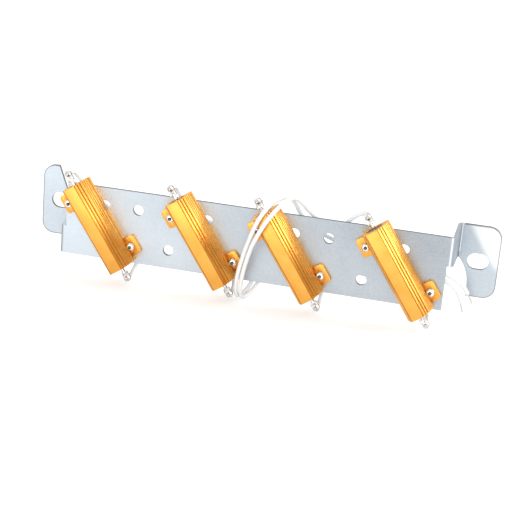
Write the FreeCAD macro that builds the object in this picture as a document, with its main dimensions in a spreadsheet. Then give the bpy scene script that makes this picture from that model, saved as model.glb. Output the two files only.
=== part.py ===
import FreeCAD, Part
import math
import os

import Sketcher
from FreeCAD import Placement, Rotation, Vector

# A bank of four wirewound power resistors riveted side by side to a zinc-plated steel strip.
# The strip stands off its wall on two slotted ears, one bent back at each end.
# Millimetres. X runs along the strip, Z is up, and Y points into the wall, which is the plane Y = 0.
# The origin lies midway between the two ear slots.

doc = FreeCAD.newDocument("resistor_bank")
sheet = doc.addObject("Spreadsheet::Sheet", "Sizes")

DRIVING_SIZES = [
    # the steel strip and its ears
    ("strip_height", 41.3),
    ("strip_length", 214.6),
    ("sheet_thickness", 2.0),
    ("stand_off", 31.5),
    ("bend_radius", 1.0),
    ("bend_start", 0.5),
    ("ear_reach", 26.2),
    ("ear_corner_radius", 7.0),
    ("neck_height", 16.1),
    ("neck_flare", 3.1),
    ("lobe_gap", 10.1),
    ("arch_radius", 22.0),
    ("arch_turn", 45.0),
    ("lug_cut_land", 9.3),
    ("lug_cut_foot", 1.5),
    ("lug_cut_wall", 2.4),
    ("slot_offset", 0.15),
    ("slot_length", 12.0),
    ("slot_width", 9.2),
    ("spare_hole", 6.0),
    ("spare_hole_level", 10.3),
    ("upper_spare_shift", 20.85),
    ("lower_spare_shift", 19.6),
    ("shadow_hole_shift", 1.6),
    # where the resistors sit, and how far they lean from the strip's length
    ("lean_angle", 55.6),
    ("seat_level", -0.35),
    ("first_rivet_margin", 2.33),
    ("last_rivet_margin", 6.63),
    ("second_seat_share", 0.35074),
    ("third_seat_share", 0.64214),
    # the finned aluminium housing
    ("housing_length", 53.0),
    ("housing_width", 15.5),
    ("housing_height", 15.5),
    ("flange_thickness", 2.24),
    ("tab_reach", 5.95),
    ("tab_length", 11.0),
    ("tab_corner", 1.8),
    ("fixing_to_end", 7.8),
    ("fixing_to_edge", 4.0),
    ("label_width", 6.7),
    ("label_groove", 0.45),
    ("shoulder_drop", 5.5),
    ("shoulder_inset", 1.25),
    ("shoulder_foot", 5.6),
    ("fin_groove_depth", 0.6),
    ("waist_inset", 0.6),
    ("waist_height", 1.6),
    ("bore_diameter", 9.6),
    ("axis_height", 6.6),
    # what the housing holds
    ("core_diameter", 4.8),
    ("core_to_end", 6.9),
    ("winding_thickness", 0.5),
    ("cap_wall", 0.35),
    ("cap_length", 4.2),
    ("seal_length", 2.6),
    ("seal_recess", 0.4),
    # the terminals
    ("lug_reach", 8.8),
    ("pin_diameter", 2.0),
    ("lug_length", 6.0),
    ("lug_width", 4.0),
    ("lug_thickness", 0.9),
    ("lug_hole", 2.2),
    # blind rivets
    ("rivet_diameter", 3.2),
    ("rivet_clearance", 0.1),
    ("rivet_head_diameter", 4.8),
    ("rivet_head_height", 1.1),
    ("rivet_tail_diameter", 4.6),
    ("rivet_tail_length", 3.0),
    ("mandrel_diameter", 1.7),
    # wiring
    ("wire_diameter", 2.4),
    ("strand_diameter", 1.2),
    ("strip_back", 3.0),
    ("straight_exit", 4.6),
    ("free_strand", 8.0),
    ("solder_rise", 0.8),
    ("solder_diameter", 3.6),
]
for row, (alias, number) in enumerate(DRIVING_SIZES, start=1):
    sheet.set("A%d" % row, alias)
    sheet.set("B%d" % row, repr(number))
    sheet.setAlias("B%d" % row, alias)
doc.recompute()


class Size:
    """A length or ratio that keeps its number and the sheet formula it comes from."""

    def __init__(self, value, formula):
        self.value = value
        self.formula = formula

    def _with(self, other, sign, value):
        return Size(value, "(%s %s %s)" % (self.formula, sign, as_size(other).formula))

    def __add__(self, other):
        return self._with(other, "+", self.value + as_size(other).value)

    def __sub__(self, other):
        return self._with(other, "-", self.value - as_size(other).value)

    def __mul__(self, other):
        return self._with(other, "*", self.value * as_size(other).value)

    def __truediv__(self, other):
        return self._with(other, "/", self.value / as_size(other).value)

    def __neg__(self):
        return Size(-self.value, "(0 - %s)" % self.formula)


def as_size(thing):
    return thing if isinstance(thing, Size) else Size(float(thing), repr(float(thing)))


def cosine(angle):
    return Size(math.cos(math.radians(angle.value)), "cos(%s * 1 deg)" % angle.formula)


def sine(angle):
    return Size(math.sin(math.radians(angle.value)), "sin(%s * 1 deg)" % angle.formula)


def size(alias):
    return Size(float(sheet.get(alias)), "Sizes.%s" % alias)


def bind(item, prop, amount):
    """Set a property to a size and tie it to the sheet."""
    amount = as_size(amount)
    item.setExpression(prop, amount.formula)


def new_body(label):
    body = doc.addObject("PartDesign::Body", label)
    body.Label = label
    return body


def start_sketch(body, name, plane, offset=None):
    sketch = body.newObject("Sketcher::SketchObject", name)
    role = plane + "_Plane"
    face = [item for item in body.Origin.OriginFeatures if item.Role == role][0]
    sketch.AttachmentSupport = (face, [""])
    sketch.MapMode = "FlatFace"
    if offset is not None:
        bind(sketch, ".AttachmentOffset.Base.z", offset)
    return sketch


def pin_point(sketch, side, handle, x, y, name):
    """Hold a sketch point at x, y; a coordinate that is always zero lies on the axis."""
    for kind, amount, axis, tag in (("DistanceX", x, -2, "x"), ("DistanceY", y, -1, "y")):
        if abs(amount.value) < 1e-9:
            sketch.addConstraint(Sketcher.Constraint("PointOnObject", side, handle, axis))
            continue
        index = sketch.addConstraint(Sketcher.Constraint(kind, -1, 1, side, handle, amount.value))
        sketch.renameConstraint(index, tag + name)
        sketch.setExpression("Constraints." + tag + name, amount.formula)


def outline(body, name, plane, corners, arcs=None, offset=None):
    """A closed sketch through the corners. arcs maps a side's number to its centre and turn."""
    sketch = start_sketch(body, name, plane, offset)
    arcs = arcs or {}
    corners = [(as_size(x), as_size(y)) for x, y in corners]
    points = [Vector(x.value, y.value, 0) for x, y in corners]
    handles = []
    for side, start in enumerate(points):
        end = points[(side + 1) % len(points)]
        if side not in arcs:
            sketch.addGeometry(Part.LineSegment(start, end))
            handles.append((1, 2))
            continue
        centre_x, centre_y, turn = arcs[side]
        centre = Vector(as_size(centre_x).value, as_size(centre_y).value, 0)
        first, last = (start, end) if turn == "left" else (end, start)
        begin = math.atan2(first.y - centre.y, first.x - centre.x)
        stop = math.atan2(last.y - centre.y, last.x - centre.x)
        if stop <= begin:
            stop += 2 * math.pi
        circle = Part.Circle(centre, Vector(0, 0, 1), (start - centre).Length)
        sketch.addGeometry(Part.ArcOfCircle(circle, begin, stop))
        handles.append((1, 2) if turn == "left" else (2, 1))
    for side, (_, finish) in enumerate(handles):
        after = (side + 1) % len(handles)
        sketch.addConstraint(Sketcher.Constraint("Coincident", side, finish, after, handles[after][0]))
    for side, (x, y) in enumerate(corners):
        pin_point(sketch, side, handles[side][0], x, y, "corner%d" % side)
    for side, (centre_x, centre_y, turn) in arcs.items():
        chord = points[(side + 1) % len(points)] - points[side]
        upright = abs(chord.y) >= abs(chord.x) - 1e-9
        kind, amount = ("DistanceX", as_size(centre_x)) if upright else ("DistanceY", as_size(centre_y))
        if abs(amount.value) < 1e-9:
            sketch.addConstraint(Sketcher.Constraint("PointOnObject", side, 3, -2 if upright else -1))
            continue
        index = sketch.addConstraint(Sketcher.Constraint(kind, -1, 1, side, 3, amount.value))
        sketch.renameConstraint(index, "centre%d" % side)
        sketch.setExpression("Constraints.centre%d" % side, amount.formula)
    return sketch


def circles(body, name, plane, places):
    """A sketch of circles, each given as x, y and diameter."""
    sketch = start_sketch(body, name, plane)
    for number, (x, y, diameter) in enumerate(places):
        x, y, diameter = as_size(x), as_size(y), as_size(diameter)
        sketch.addGeometry(Part.Circle(Vector(x.value, y.value, 0), Vector(0, 0, 1), diameter.value / 2))
        pin_point(sketch, number, 3, x, y, "centre%d" % number)
        index = sketch.addConstraint(Sketcher.Constraint("Diameter", number, diameter.value))
        sketch.renameConstraint(index, "across%d" % number)
        sketch.setExpression("Constraints.across%d" % number, diameter.formula)
    return sketch


def pad(body, name, sketch, length, symmetric=False):
    feature = body.newObject("PartDesign::Pad", name)
    feature.Profile = sketch
    bind(feature, "Length", length)
    if symmetric:
        feature.SideType = "Symmetric"
    doc.recompute()
    return feature


def pocket(body, name, sketch, depth=None, reverse=False):
    """Cut a sketch through everything, or to a depth on one side, and check that it did cut."""
    before = body.Shape.Volume
    feature = body.newObject("PartDesign::Pocket", name)
    feature.Profile = sketch
    if depth is None:
        feature.Type = "ThroughAll"
        feature.SideType = "Symmetric"
    else:
        bind(feature, "Length", depth)
        feature.Reversed = reverse
    doc.recompute()
    if body.Shape.Volume >= before - 1e-6:
        raise RuntimeError(name + " removes nothing")
    return feature


def half_turn(body, name, features, axis):
    """Repeat features half a turn round one of the body's axes."""
    pattern = body.newObject("PartDesign::PolarPattern", name)
    pattern.Originals = features
    line = [item for item in body.Origin.OriginFeatures if item.Role == axis + "_Axis"][0]
    pattern.Axis = (line, [""])
    pattern.Angle = 360
    pattern.Occurrences = 2
    body.Tip = pattern
    doc.recompute()
    return pattern


# Values that several pieces share, all worked out from the sheet
half_height = size("strip_height") / 2
half_length = size("strip_length") / 2
thickness = size("sheet_thickness")
outer_bend = size("bend_radius") + thickness
bend_line = half_length + size("bend_start")
web_outside = bend_line + outer_bend
web_inside = web_outside - thickness
strip_back = -size("stand_off")
strip_front = strip_back - thickness
ear_end = half_length + size("ear_reach")
half_housing = size("housing_length") / 2
tab_out = size("housing_width") / 2 + size("tab_reach")
rivet_long = half_housing - size("fixing_to_end")
rivet_wide = tab_out - size("fixing_to_edge")

# The outer resistors sit by their rivets' distance from the strip's ends, the inner two between them
lean = size("lean_angle")
lean_cos = cosine(lean)
lean_sin = sine(lean)
seat_level = size("seat_level")
rivet_reach = rivet_long * lean_cos + rivet_wide * lean_sin
first_seat = rivet_reach + size("first_rivet_margin") - half_length
last_seat = half_length - size("last_rivet_margin") - rivet_reach
SEATS = {
    "1": first_seat,
    "2": first_seat + (last_seat - first_seat) * size("second_seat_share"),
    "3": first_seat + (last_seat - first_seat) * size("third_seat_share"),
    "4": last_seat,
}


def on_strip(seat, along, across):
    """Place on the strip, as X and Z, of a point given along and across a leaning resistor."""
    x = SEATS[seat] + along * lean_cos + across * lean_sin
    z = seat_level - along * lean_sin + across * lean_cos
    return x, z


def resistor_place(seat, turned=False):
    """A resistor's own frame: X along its body, Y across it, Z off the strip's front face."""
    base = Vector(SEATS[seat].value, strip_front.value, seat_level.value)
    turn = Rotation(Vector(0, 1, 0), lean.value).multiply(Rotation(Vector(1, 0, 0), 90))
    place = Placement(base, turn)
    if turned:
        place = place.multiply(Placement(Vector(0, 0, 0), Rotation(Vector(0, 0, 1), 180)))
    return place


# Mounting strip: one sheet, bent twice at each end. Seen from above it is a Z at each end.
def make_strip():
    body = new_body("mounting_strip")
    inner = size("bend_radius")
    ear_front = -thickness
    right = [
        (bend_line, strip_front),
        (web_outside, strip_front + outer_bend),
        (web_outside, ear_front - inner),
        (web_outside + inner, ear_front),
        (ear_end, ear_front),
        (ear_end, as_size(0)),
        (web_inside + outer_bend, as_size(0)),
        (web_inside, -outer_bend),
        (web_inside, strip_back + inner),
        (bend_line, strip_back),
    ]
    left = [(-x, y) for x, y in reversed(right)]
    arcs = {
        0: (bend_line, strip_front + outer_bend, "left"),
        2: (web_outside + inner, ear_front - inner, "right"),
        6: (web_inside + outer_bend, -outer_bend, "left"),
        8: (bend_line, strip_back + inner, "right"),
    }
    count = len(right)
    mirrored = {2 * count - 2 - side: (-x, y, turn) for side, (x, y, turn) in arcs.items()}
    plan = outline(body, "bent_section", "XY", right + left, {**arcs, **mirrored})
    pad(body, "bent_sheet", plan, size("strip_height"), symmetric=True)

    # relief at one end: below the neck the sheet is cut away between strip and ear
    past = as_size(1)
    neck_front = half_height - size("neck_height")
    neck_rear = neck_front - size("neck_flare")
    below = -half_height - past
    side_view = outline(
        body, "neck_profile", "YZ",
        [(strip_front - past, below), (past, below), (past, neck_rear), (ear_front, neck_rear),
         (strip_front, neck_front), (strip_front - past, neck_front)],
        offset=half_length)
    neck = pocket(body, "neck_relief", side_view, web_outside - half_length, reverse=True)
    # an arch leads from the neck into the ear's lower lobe
    lobe = half_length + size("lobe_gap")
    arch = size("arch_radius")
    turn = size("arch_turn")
    arch_foot = neck_rear - arch * sine(turn)
    arch_top = lobe - arch + arch * cosine(turn)
    front_view = outline(
        body, "lobe_outline", "XZ",
        [(web_outside, below), (lobe, below), (lobe, arch_foot), (arch_top, neck_rear),
         (web_outside, neck_rear)],
        {2: (lobe - arch, arch_foot, "left")})
    lobe_cut = pocket(body, "lobe_relief", front_view)

    half_slot = size("slot_width") / 2
    slot_centre = (web_outside + ear_end) / 2 - size("slot_offset")
    run = size("slot_length") / 2 - half_slot
    slot_sketch = outline(
        body, "slot_outline", "XZ",
        [(slot_centre - run, -half_slot), (slot_centre + run, -half_slot),
         (slot_centre + run, half_slot), (slot_centre - run, half_slot)],
        {1: (slot_centre + run, as_size(0), "left"), 3: (slot_centre - run, as_size(0), "left")})
    slot = pocket(body, "ear_slot", slot_sketch)
    half_turn(body, "other_end", [neck, lobe_cut, slot], "Y")

    # the left ear's upper lobe is cut back, clear of the first resistor's upper lug
    top = half_height + past
    cut_foot = half_slot + size("lug_cut_wall")
    inboard = past * 2 - lobe
    land = size("lug_cut_land") - ear_end
    corner = outline(
        body, "lug_cut_outline", "XZ",
        [(inboard, cut_foot), (inboard, top), (land, top), (land, half_height),
         (-lobe - size("lug_cut_foot"), cut_foot)])
    pocket(body, "lug_cut", corner)

    level = size("spare_hole_level")
    shift = size("shadow_hole_shift")
    drill = size("spare_hole")
    places = [(SEATS[seat] + size("upper_spare_shift"), level, drill) for seat in "13"]
    places += [(SEATS[seat] - size("lower_spare_shift"), -level, drill) for seat in "24"]
    places += [(seat + shift, level, drill) for seat in SEATS.values()]
    pocket(body, "spare_holes", circles(body, "spare_hole_circles", "XZ", places))
    rivet_hole = size("rivet_diameter") + size("rivet_clearance")
    places = []
    for seat in SEATS:
        places.append((*on_strip(seat, rivet_long, rivet_wide), rivet_hole))
        places.append((*on_strip(seat, -rivet_long, -rivet_wide), rivet_hole))
    pocket(body, "rivet_holes", circles(body, "rivet_hole_circles", "XZ", places))

    corners = []
    for number, edge in enumerate(body.Tip.Shape.Edges, start=1):
        middle = edge.CenterOfMass
        across = math.hypot(abs(middle.x) - ear_end.value, abs(middle.z) - half_height.value)
        if across < 1e-4:
            corners.append("Edge%d" % number)
    base = body.Tip
    rounded = body.newObject("PartDesign::Fillet", "ear_corners")
    rounded.Base = (base, corners)
    bind(rounded, "Radius", size("ear_corner_radius"))
    doc.recompute()
    return body


# Housing: an aluminium extrusion with a flat label face, finned shoulders and two fixing tabs.
def housing_section():
    """Corners of the extrusion's right half, from the foot up to the label face."""
    half = size("housing_width") / 2
    top = size("housing_height")
    depth = size("fin_groove_depth")
    # a waist above the flange makes room for the rivet heads
    flange = size("flange_thickness")
    waist = half - size("waist_inset")
    waist_top = (half, flange + size("waist_height"))
    foot = (half, size("shoulder_foot"))
    knee = (half - size("shoulder_inset"), top - size("shoulder_drop"))
    crest = (size("label_width") / 2 + size("label_groove"), top)
    # each stretch: where it starts and ends, how far its grooves go in, and where along it they lie
    stretches = [
        (foot, knee, (-depth, as_size(0)), (0.1, 0.46, 0.82), 0.12),
        (knee, crest, (-depth * 0.9, -depth * 0.45), (0.24, 0.6), 0.14),
    ]
    corners = [(half, as_size(0)), (half, flange), (waist, flange), (waist, waist_top[1]), waist_top, foot]
    for (start_x, start_y), (end_x, end_y), (in_x, in_y), shares, wide in stretches:
        for share in shares:
            for step, sunk in ((share, False), (share, True), (share + wide, True), (share + wide, False)):
                x = start_x + (end_x - start_x) * step
                y = start_y + (end_y - start_y) * step
                corners.append((x + in_x, y + in_y) if sunk else (x, y))
        corners.append((end_x, end_y))
    edge = size("label_width") / 2
    corners += [(crest[0], top - depth), (edge, top - depth), (edge, top)]
    return corners


def make_housing(seat):
    body = new_body("housing_" + seat)
    right = housing_section()
    section = right + [(-x, y) for x, y in reversed(right)]
    pad(body, "extrusion", outline(body, "section", "YZ", section), size("housing_length"), symmetric=True)

    half = size("housing_width") / 2
    near = rivet_long - size("tab_length") / 2
    far = near + size("tab_length")
    round_off = size("tab_corner")
    root = half - size("waist_inset") * 2
    tab_sketch = outline(
        body, "tab_outline", "XY",
        [(near, root), (far, root), (far, tab_out - round_off), (far - round_off, tab_out),
         (near + round_off, tab_out), (near, tab_out - round_off)],
        {2: (far - round_off, tab_out - round_off, "left"),
         4: (near + round_off, tab_out - round_off, "left")})
    tab = pad(body, "tab", tab_sketch, size("flange_thickness"))
    drill = size("rivet_diameter") + size("rivet_clearance")
    fixing = circles(body, "fixing_circle", "XY", [(rivet_long, rivet_wide, drill)])
    hole = pocket(body, "fixing_hole", fixing)
    half_turn(body, "other_tab", [tab, hole], "Z")
    bore = circles(body, "bore_circle", "YZ", [(as_size(0), size("axis_height"), size("bore_diameter"))])
    pocket(body, "bore", bore)
    body.Placement = resistor_place(seat)
    return body


# Round pieces along a resistor's axis
def rod(label, diameter, start, length):
    """A cylinder along X at the resistor's axis height."""
    item = doc.addObject("Part::Cylinder", label)
    bind(item, "Radius", diameter / 2)
    bind(item, "Height", length)
    item.Placement = Placement(Vector(0, 0, 0), Rotation(Vector(0, 1, 0), 90))
    bind(item, ".Placement.Base.x", start)
    bind(item, ".Placement.Base.z", size("axis_height"))
    return item


def combine(kind, label, **parts):
    item = doc.addObject(kind, label)
    for name, value in parts.items():
        setattr(item, name, value)
    return item


def ring(label, outer, inner, start, length):
    past = as_size(1)
    shell = rod(label + "_outside", outer, start, length)
    hole = rod(label + "_inside", inner, start - past, length + past * 2)
    return combine("Part::Cut", label, Base=shell, Tool=hole)


def place_in_resistor(item, seat, turned=False):
    item.Label = item.Name
    item.Placement = resistor_place(seat, turned)
    return item


winding_diameter = size("core_diameter") + size("winding_thickness") * 2
cap_diameter = winding_diameter + size("cap_wall") * 2
core_half = half_housing - size("core_to_end")
seal_inner = half_housing - size("seal_recess") - size("seal_length")
lug_tip = half_housing + size("lug_reach")


def make_inside(seat):
    """Ceramic core, resistance winding, moulded filling, and at each end a cap, seal and terminal."""
    pieces = []
    core = combine("Part::MultiFuse", "ceramic_core_" + seat, Shapes=[
        rod("core_bar_" + seat, size("core_diameter"), -core_half, core_half * 2)] + [
        rod("core_end_%s_%d" % (seat, side), size("core_diameter") * 0.8,
            core_half * side - (size("cap_wall") if side < 0 else as_size(0)), size("cap_wall"))
        for side in (-1, 1)])
    pieces.append(place_in_resistor(core, seat))
    winding_half = core_half - size("cap_length")
    winding = ring("resistance_winding_" + seat, winding_diameter, size("core_diameter"),
                   -winding_half, winding_half * 2)
    pieces.append(place_in_resistor(winding, seat))
    filling = combine("Part::Cut", "moulded_filling_" + seat,
                      Base=rod("filling_outside_" + seat, size("bore_diameter"), -seal_inner, seal_inner * 2),
                      Tool=filling_hollow(seat, winding_half))
    pieces.append(place_in_resistor(filling, seat))
    for end, turned in (("upper", True), ("lower", False)):
        pieces += make_end(seat, end, turned, winding_half)
    return pieces


def filling_hollow(seat, winding_half):
    """The space that the wound core, its caps and the two pins take out of the filling."""
    past = as_size(1)
    return combine("Part::MultiFuse", "filling_hollow_" + seat, Shapes=[
        rod("hollow_winding_" + seat, winding_diameter, -winding_half, winding_half * 2),
        rod("hollow_cap_a_" + seat, cap_diameter, -core_half - size("cap_wall") * 2,
            size("cap_length") + size("cap_wall") * 2),
        rod("hollow_cap_b_" + seat, cap_diameter, winding_half, size("cap_length") + size("cap_wall") * 2),
        rod("hollow_pins_" + seat, size("pin_diameter"), -seal_inner - past, (seal_inner + past) * 2)])


def make_end(seat, end, turned, winding_half):
    tag = end + "_" + seat
    wall = size("cap_wall")
    cap_blank = rod("cap_blank_" + tag, cap_diameter, winding_half, size("cap_length") + wall * 2)
    cap_bore = combine("Part::MultiFuse", "cap_bore_" + tag, Shapes=[
        rod("cap_skirt_" + tag, size("core_diameter"), winding_half - 1, size("cap_length") + 1),
        rod("cap_seat_" + tag, size("core_diameter") * 0.8, core_half - 1, wall + 1)])
    cap = combine("Part::Cut", "end_cap_" + tag, Base=cap_blank, Tool=cap_bore)
    seal = ring("end_seal_" + tag, size("bore_diameter"), size("pin_diameter"),
                seal_inner, size("seal_length"))
    pin_start = core_half + wall * 2
    lug_start = lug_tip - size("lug_length")
    half_width = size("lug_width") / 2
    pin_piece = rod("pin_" + tag, size("pin_diameter"), pin_start, lug_start + 0.6 - pin_start)
    flat = doc.addObject("Part::Box", "lug_flat_" + tag)
    bind(flat, "Length", size("lug_length") - half_width)
    bind(flat, "Width", size("lug_width"))
    bind(flat, "Height", size("lug_thickness"))
    bind(flat, ".Placement.Base.x", lug_start)
    bind(flat, ".Placement.Base.y", -half_width)
    bind(flat, ".Placement.Base.z", size("axis_height") - size("lug_thickness") / 2)
    nose = upright_disc("lug_nose_" + tag, size("lug_width"), lug_tip - half_width)
    hole = upright_disc("lug_hole_" + tag, size("lug_hole"), lug_tip - half_width)
    solid = combine("Part::MultiFuse", "terminal_solid_" + tag, Shapes=[pin_piece, flat, nose], Refine=True)
    terminal = combine("Part::Cut", "terminal_" + tag, Base=solid, Tool=hole)
    return [place_in_resistor(item, seat, turned) for item in (cap, seal, terminal)]


def upright_disc(label, diameter, x):
    """A disc through the lug's flat, as thick as the lug."""
    disc = doc.addObject("Part::Cylinder", label)
    bind(disc, "Radius", diameter / 2)
    bind(disc, "Height", size("lug_thickness"))
    bind(disc, ".Placement.Base.x", x)
    bind(disc, ".Placement.Base.z", size("axis_height") - size("lug_thickness") / 2)
    return disc


# Blind rivets: head on the tab, shank through tab and strip, and a set tail behind the strip
def turned_profile(corners):
    """A solid of revolution about Z from corners given as radius and height."""
    points = [Vector(radius, 0, height) for radius, height in corners]
    face = Part.Face(Part.makePolygon(points + points[:1]))
    return face.revolve(Vector(0, 0, 0), Vector(0, 0, 1), 360)


def all_fixings():
    for seat in SEATS:
        for side in (1, -1):
            x, z = on_strip(seat, rivet_long * side, rivet_wide * side)
            yield x.value, z.value


def make_rivets():
    shank = size("rivet_diameter").value / 2
    head = size("rivet_head_diameter").value / 2
    rise = size("rivet_head_height").value
    tail = size("rivet_tail_diameter").value / 2
    pull = size("mandrel_diameter").value / 2
    seat_height = size("flange_thickness").value
    back = -thickness.value
    tail_end = back - size("rivet_tail_length").value
    crown = seat_height + rise
    sleeve = turned_profile([
        (pull, tail_end), (tail * 0.6, tail_end), (tail, tail_end + 0.9), (tail * 0.92, back - 0.5),
        (shank * 1.08, back), (shank, back), (shank, seat_height), (head, seat_height),
        (head, seat_height + rise * 0.25), (head * 0.8, seat_height + rise * 0.75),
        (head * 0.5, crown), (pull, crown)])
    sunk = seat_height + rise * 0.35
    stub = turned_profile([
        (0, tail_end - 0.9), (pull * 0.8, tail_end - 0.9), (pull * 1.15, tail_end - 0.5),
        (pull * 1.15, tail_end), (pull, tail_end), (pull, sunk - 0.2), (pull * 0.5, sunk), (0, sunk)])
    turn = Rotation(Vector(1, 0, 0), 90)
    groups = {"rivets": sleeve, "rivet_mandrels": stub}
    made = []
    for label, master in groups.items():
        copies = []
        for x, z in all_fixings():
            copy = master.copy()
            copy.Placement = Placement(Vector(x, strip_front.value, z), turn)
            copies.append(copy)
        item = doc.addObject("Part::Feature", label)
        item.Shape = Part.makeCompound(copies)
        made.append(item)
    return made


# Wiring. A lug's hole takes the bare strand; the insulation stops a little behind the lug.
lug_eye = lug_tip - size("lug_width") / 2
lug_plane = strip_front - size("axis_height")
LUG_SIDE = {"upper": -1, "lower": 1}


def lug_point(seat, end, behind=0.0):
    """Centre of a lug's hole, or a point straight behind it."""
    x, z = on_strip(seat, lug_eye * LUG_SIDE[end], as_size(0))
    return Vector(x.value, lug_plane.value + behind, z.value)


def wire_start(seat, end):
    return lug_point(seat, end, size("lug_thickness").value / 2 + size("strip_back").value)


def wire_exit(seat, end):
    """The first turn of a wire, straight behind its lug."""
    return wire_start(seat, end) + Vector(0, size("straight_exit").value, 0)


# Each wire's route between the straight exits at its lugs, chosen by hand
JUMPERS = {
    "jumper_left": (("1", "lower"), ("2", "lower"), [
        (-67.2, -27.0, -24.6), (-64.4, -24.8, -16.5), (-54.0, -24.4, -9.5), (-38.5, -24.4, -7.5),
        (-22.5, -24.4, -10.0), (-12.2, -24.8, -16.5), (-9.0, -27.0, -24.6)]),
    "jumper_middle": (("2", "upper"), ("3", "upper"), [
        (-45.6, -27.0, 24.0), (-42.0, -24.8, 16.0), (-33.0, -24.4, 8.5), (-20.5, -24.4, 5.5),
        (-9.4, -24.4, 8.0), (-1.2, -24.8, 15.5), (2.5, -27.0, 24.0)]),
    "jumper_right": (("3", "lower"), ("4", "upper"), [
        (40.6, -27.0, -24.6), (41.8, -24.8, -16.0), (43.7, -24.4, -3.0), (46.0, -24.8, 9.5),
        (50.4, -26.2, 19.0), (57.6, -28.4, 25.6)]),
}
LEADS = {
    "lead_left": (("1", "upper"), [
        (-104.4, -26.5, 23.8), (-99.0, -22.0, 14.5), (-84.0, -19.8, 3.0), (-62.0, -19.5, -3.0),
        (-38.0, -19.5, -3.5), (-17.0, -19.5, -9.0), (-4.4, -20.3, -16.5), (1.0, -24.0, -23.0),
        (-1.8, -29.0, -28.4), (-5.0, -35.5, -30.2), (-5.6, -39.5, -25.0), (-4.9, -41.2, -17.0),
        (-3.2, -42.6, -8.8), (-0.3, -45.4, 2.3), (3.2, -49.4, 11.9), (6.6, -51.3, 20.6),
        (10.7, -51.0, 27.7), (15.4, -45.0, 31.9), (19.0, -37.0, 31.3), (21.4, -29.0, 27.0),
        (23.8, -22.4, 18.5), (31.5, -19.6, 10.0), (48.0, -19.2, 4.0), (70.0, -19.2, 0.0),
        (91.5, -19.0, -4.0), (106.6, -17.3, -8.8), (111.4, -14.0, -12.6), (114.6, -10.5, -17.6),
        (115.8, -8.0, -22.8)]),
    "lead_right": (("4", "lower"), [
        (100.0, -27.0, -24.6), (93.0, -22.6, -18.5), (76.0, -20.0, -12.5), (54.0, -19.5, -10.5),
        (32.0, -19.5, -11.5), (15.0, -19.8, -15.0), (6.4, -21.0, -18.6), (3.9, -24.6, -24.2),
        (0.9, -29.2, -28.9), (-2.1, -35.8, -30.4), (-2.7, -40.0, -25.2), (-2.1, -41.8, -17.2),
        (-0.3, -43.2, -8.2), (2.9, -46.6, 3.1), (7.2, -51.2, 12.8), (11.6, -51.8, 21.3),
        (16.2, -51.2, 28.0), (20.1, -46.0, 32.4), (22.8, -37.0, 31.6), (25.2, -28.6, 27.0),
        (28.6, -22.4, 20.6), (37.5, -19.8, 14.0), (52.0, -19.2, 8.0), (72.0, -19.2, 3.6),
        (92.0, -19.0, -0.2), (106.6, -17.3, -5.2), (112.4, -14.0, -8.6), (116.8, -10.4, -12.8),
        (119.0, -7.8, -17.4)]),
}


def cord_path(points):
    """Straight runs joined by tangent arcs; each arc is as large as its two runs allow."""
    edges = []
    radii = []
    here = points[0]
    for before, corner, after in zip(points, points[1:], points[2:]):
        arriving = (corner - before).normalize()
        leaving = (after - corner).normalize()
        turn = arriving.getAngle(leaving)
        reach = 0.45 * min((corner - before).Length, (after - corner).Length)
        radii.append(reach / math.tan(turn / 2))
        start = corner - arriving * reach
        end = corner + leaving * reach
        to_middle = (leaving - arriving).normalize()
        middle = corner + to_middle * (radii[-1] / math.cos(turn / 2) - radii[-1])
        edges.append(Part.LineSegment(here, start).toShape())
        edges.append(Part.Arc(start, middle, end).toShape())
        here = end
    edges.append(Part.LineSegment(here, points[-1]).toShape())
    return Part.Wire(edges), radii


def tube(label, points, diameter):
    """A plain round wire along its route, compared with its section times its length."""
    path, radii = cord_path(points)
    along = (points[1] - points[0]).normalize()
    section = Part.Wire(Part.Circle(points[0], along, diameter / 2).toShape())
    shape = path.makePipeShell([section], True, False)
    solid = Part.Solid(shape) if shape.ShapeType == "Shell" else shape
    expected = math.pi * (diameter / 2) ** 2 * path.Length
    print("%s: length %.1f, radii %.1f to %.1f, volume %.4f of section times length" % (
        label, path.Length, min(radii), max(radii), solid.Volume / expected))
    item = doc.addObject("Part::Feature", label)
    item.Shape = solid
    return item


def strand(start, end):
    """A bare tinned strand between two points."""
    run = end - start
    return Part.makeCylinder(size("strand_diameter").value / 2, run.Length, start, run)


def strand_through_lug(seat, end):
    front = lug_point(seat, end, -size("lug_thickness").value / 2 - size("solder_rise").value)
    return strand(wire_start(seat, end), front)


def make_group(label, shapes):
    item = doc.addObject("Part::Feature", label)
    item.Shape = Part.makeCompound(shapes)
    return item


def make_wiring():
    insulation = size("wire_diameter").value
    pieces = []
    for label, (first, last, middle) in JUMPERS.items():
        route = [wire_start(*first), wire_exit(*first)]
        route += [Vector(*point) for point in middle]
        route += [wire_exit(*last), wire_start(*last)]
        pieces.append(tube(label, route, insulation))
        pieces.append(make_group(label + "_strands", [strand_through_lug(*first), strand_through_lug(*last)]))
    for label, (first, middle) in LEADS.items():
        route = [wire_start(*first), wire_exit(*first)] + [Vector(*point) for point in middle]
        pieces.append(tube(label, route, insulation))
        onward = (route[-1] - route[-2]).normalize() * size("free_strand").value
        pieces.append(make_group(label + "_strands", [
            strand_through_lug(*first), strand(route[-1], route[-1] + onward)]))
    return pieces


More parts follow.
